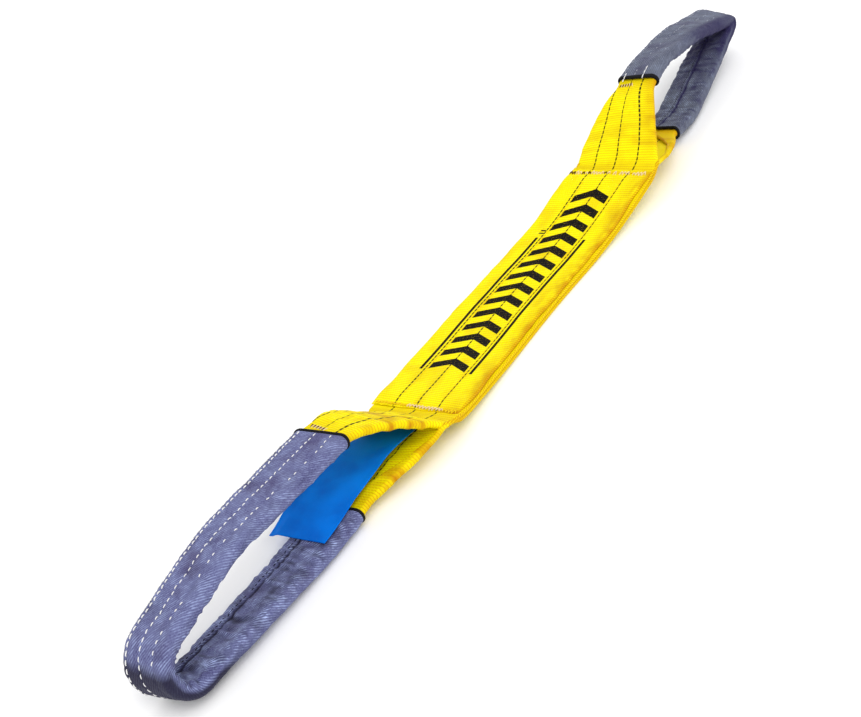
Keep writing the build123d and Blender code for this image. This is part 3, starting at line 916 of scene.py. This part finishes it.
def hem(name, which):
    """Black overlocked edge of a sleeve: a ring of slanted threads."""
    path = PATHS[name]
    length = HEM[name][which == "lower"]
    start = STARTS[name][which == "lower"]
    base = path.fold_up + start if which == "upper" else path.fold_low - start - length
    s = base + np.linspace(0, length, 12)
    count = 300
    ring, out, around = section_ring(SLEEVE_HALF + 0.55, SLEEVE_DEEP + 0.55, SLEEVE_CORNER + 0.5, count)
    ring, out = ring[:-1], out[:-1]
    t = np.linspace(0, 1, 12)[:, None]
    swell = 0.5 * np.sqrt(np.clip(1 - (2 * t - 1) ** 4, 0, 1)) - 0.35
    threads = np.abs(np.sin(around[:-1] * PI / 1.5 + 2.2 * t))
    swell = swell + 0.32 * threads * np.sqrt(np.clip(4 * t * (1 - t), 0, 1))
    wave = 0.5 * noise(around[:-1] / 14, 0, 0, 41 + len(which))
    point, along, across, normal = path.at(path.skewed(name, s[:, None], ring[:, 0]))
    a = ring[:, 0] + out[:, 0] * swell
    n = ring[:, 1] + out[:, 1] * swell
    outside = offset(point, across, normal, a, n) + along * wave[..., None]
    ring_in = section_ring(SLEEVE_HALF - 1.2, SLEEVE_DEEP - 1.2, SLEEVE_CORNER - 1.2, count)[0][:-1].T
    back = np.array([11, 6, 0])
    inside = offset(point[back], across[back], normal[back], *ring_in)
    points = np.concatenate([outside, inside + along[back] * wave[..., None]])
    down = np.concatenate([t[:, 0], t[back, 0]])[:, None]
    uv = np.stack(np.broadcast_arrays(down * 5, around[None] / 12), -1)
    flip = path.side > 0
    obj = grid(f"{name}_hem_{which}_overlock", points, uv, uv * 0, BLACK_THREAD, flip, loop_rows=True)
    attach(obj, f"{name}_eye")
    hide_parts(f"{name}_hem_{which}")


def hem_stitches():
    """Two short lines of white stitches that cross the far eye's upper hem."""
    path = PATHS["far"]
    rows = []
    for a, start, end in ((13.0, -4.0, 9.0), (-9.0, -3.0, 16.0)):
        s = path.fold_up + STARTS["far"][0] + np.linspace(start, end, 4)
        point, _, across, normal = path.at(s)
        line = point + across * a + normal * (SLEEVE_DEEP + 0.7)
        rows += [(line[i], line[i + 1], normal[i]) for i in range(3)]
    obj = stitches("far_hem_cross_stitches", *zip(*rows), 0.5, WHITE_THREAD, 0.2)
    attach(obj, "far_eye")


def fold_tack(name, which):
    """Zigzag of thread through the folded webbing beside the sleeve, seen on both faces."""
    path = PATHS[name]
    start = STARTS[name][which == "lower"] - 6.0
    base = path.fold_up + start if which == "upper" else path.fold_low - start
    rows = {"cream": [], "brown": []}
    for face in (1, -1):
        height = face * (PLY / 2 + FOLD_RADIUS - 0.1)
        for y in np.arange(2.0, 17.0, 3.0):
            first, turn, last = (base - 2.6, y), (base + 2.6, y + 1.5), (base - 2.6, y + 3.0)
            for colour, p, q in (("cream", first, turn), ("brown", turn, last)):
                point, _, across, normal = path.at(np.array([p[0], q[0]]))
                ends = point + across * np.array([[p[1]], [q[1]]]) + normal * height
                rows[colour].append((ends[0], ends[1], normal[0] * face))
    threads = (("cream", CREAM_THREAD, "white_thread"), ("brown", BROWN_THREAD, "brown_thread"))
    for colour, material, slot in threads:
        obj = stitches(f"{name}_fold_tack_{which}_{colour}", *zip(*rows[colour]), 0.5, material, 0.3)
        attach(obj, f"{name}_eye")
        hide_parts(f"{name}_fold_tack_{which}")


# ---- label ----
def label():
    """Satin label that lies over the lower leg, caught between the two runs at the near bar-tack."""
    path = PATHS["near"]
    out = np.linspace(-1.0, LABEL_LENGTH, 120)  # from just inside its fold line
    point, _, across, normal = path.at(path.fold_low - out)
    v = np.linspace(-LABEL_WIDTH / 2, LABEL_WIDTH / 2, 48)[None].repeat(len(out), 0)
    row = out[:, None]
    height = 1.8 + (SLEEVE_DEEP + 1.1) * ramp(row, 0, 66)
    height = height + 0.7 * ramp(row, 0, 60) * noise(row / 45, v / 30, 0, 61)
    height = height - 3.0 * ramp(v, 19, 29) * ramp(row, 120, 156)
    middle = np.interp(row, [0, 60, 110, 160], [13.0, 16.0, 16.5, 11.5])
    centre = offset(point[:, None], across[:, None], normal[:, None], v + middle, -height)
    face = unit(np.cross(np.gradient(centre, axis=0), np.gradient(centre, axis=1)))
    face = face * np.sign(face[..., 2:])
    # painted shade along one side and where the label goes in between the runs
    dark = 0.75 * ramp(v, 16, 29) * (1 - ramp(row, 90, 150)) + 0.7 * bump(row, 0, 22)
    detail = np.stack([np.clip(dark, 0, 0.9), 0 * v], -1)
    obj = ribbon("label_flap", centre, face, LABEL_THICK, v, out, [detail, detail], LABEL, flip=True)
    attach(obj, "label")
    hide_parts("label")


# ---- assemble ----
for eye in ("near", "far"):
    eye_webbing(eye)
    sleeve_seams(Sleeve(eye))
    for end in ("upper", "lower"):
        hem(eye, end)
        fold_tack(eye, end)
hem_stitches()
top_splice()
body_seams()
bar_tack("near_bar_tack_stitches", TACK_AT["near"], 3.4, 3.45, (
    ("_cream", CREAM_THREAD, "white_thread", lambda y: (y > -30) & (y < 6) & ~speckled(y, 5, 0.25)),
    ("_yellow", YELLOW_THREAD, "yellow_thread", lambda y: (y <= -30) | (y >= 6) | speckled(y, 5, 0.25)),
))
bar_tack("far_bar_tack_stitches", TACK_AT["far"], 3.6, 3.75, (
    ("_cream", CREAM_THREAD, "white_thread", lambda y: ~speckled(y, 9, 0.35)),
    ("_brown", BROWN_THREAD, "brown_thread", lambda y: speckled(y, 9, 0.35) & (y > 0)),
    ("_yellow", YELLOW_THREAD, "yellow_thread", lambda y: speckled(y, 9, 0.35) & (y <= 0)),
))
label()
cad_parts["label_sewn_end"].data.materials.clear()
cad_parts["label_sewn_end"].data.materials.append(LABEL)

# ---- floor, light, camera, in metres ----
FLOOR_SIZE, FLOOR_HEIGHT = 80.0, -0.0003
WHITE = (1, 1, 1, 1)
SKY_STRENGTH = 1.0
SUN_FROM, SUN_STRENGTH, SUN_SPREAD = (-0.25, -0.75, 1.0), 1.15, 45  # spread in degrees
CAMERA_AT = (-0.8926, -0.7347, 0.6699)
HEADING, DOWN, CAMERA_ROLL = 44.24, 31.04, -20.24  # degrees
SENSOR, LENS = 36.0, 60.0  # millimetres
CLIP = (0.01, 100.0)

scene = bpy.context.scene
bpy.ops.mesh.primitive_plane_add(size=FLOOR_SIZE, location=(0, 0, FLOOR_HEIGHT))
floor = bpy.context.object
floor.name = "floor"
floor.data.materials.append(Graph("floor_white", 0.9, 0.1).finish(rgb(255, 255, 255)))

world = scene.world or bpy.data.worlds.new("World")
scene.world = world
world.use_nodes = True
background = world.node_tree.nodes["Background"]
background.inputs["Color"].default_value = WHITE
background.inputs["Strength"].default_value = SKY_STRENGTH

sun = bpy.data.lights.new("key", "SUN")
sun.energy, sun.angle = SUN_STRENGTH, math.radians(SUN_SPREAD)
light = bpy.data.objects.new("key", sun)
scene.collection.objects.link(light)
light.rotation_mode = "QUATERNION"
light.rotation_quaternion = Vector(SUN_FROM).to_track_quat("Z", "Y")

scene.view_settings.view_transform = "Standard"
scene.view_settings.look = "None"
camera = bpy.data.objects.new("camera", bpy.data.cameras.new("camera"))
scene.collection.objects.link(camera)
camera.data.sensor_width, camera.data.lens = SENSOR, LENS
camera.data.clip_start, camera.data.clip_end = CLIP
turn = Matrix.Rotation(math.radians(HEADING - 90), 4, "Z")
turn = turn @ Matrix.Rotation(math.radians(90 - DOWN), 4, "X")
turn = turn @ Matrix.Rotation(math.radians(CAMERA_ROLL), 4, "Z")
camera.matrix_world = Matrix.Translation(CAMERA_AT) @ turn
scene.camera = camera

bpy.context.view_layer.update()
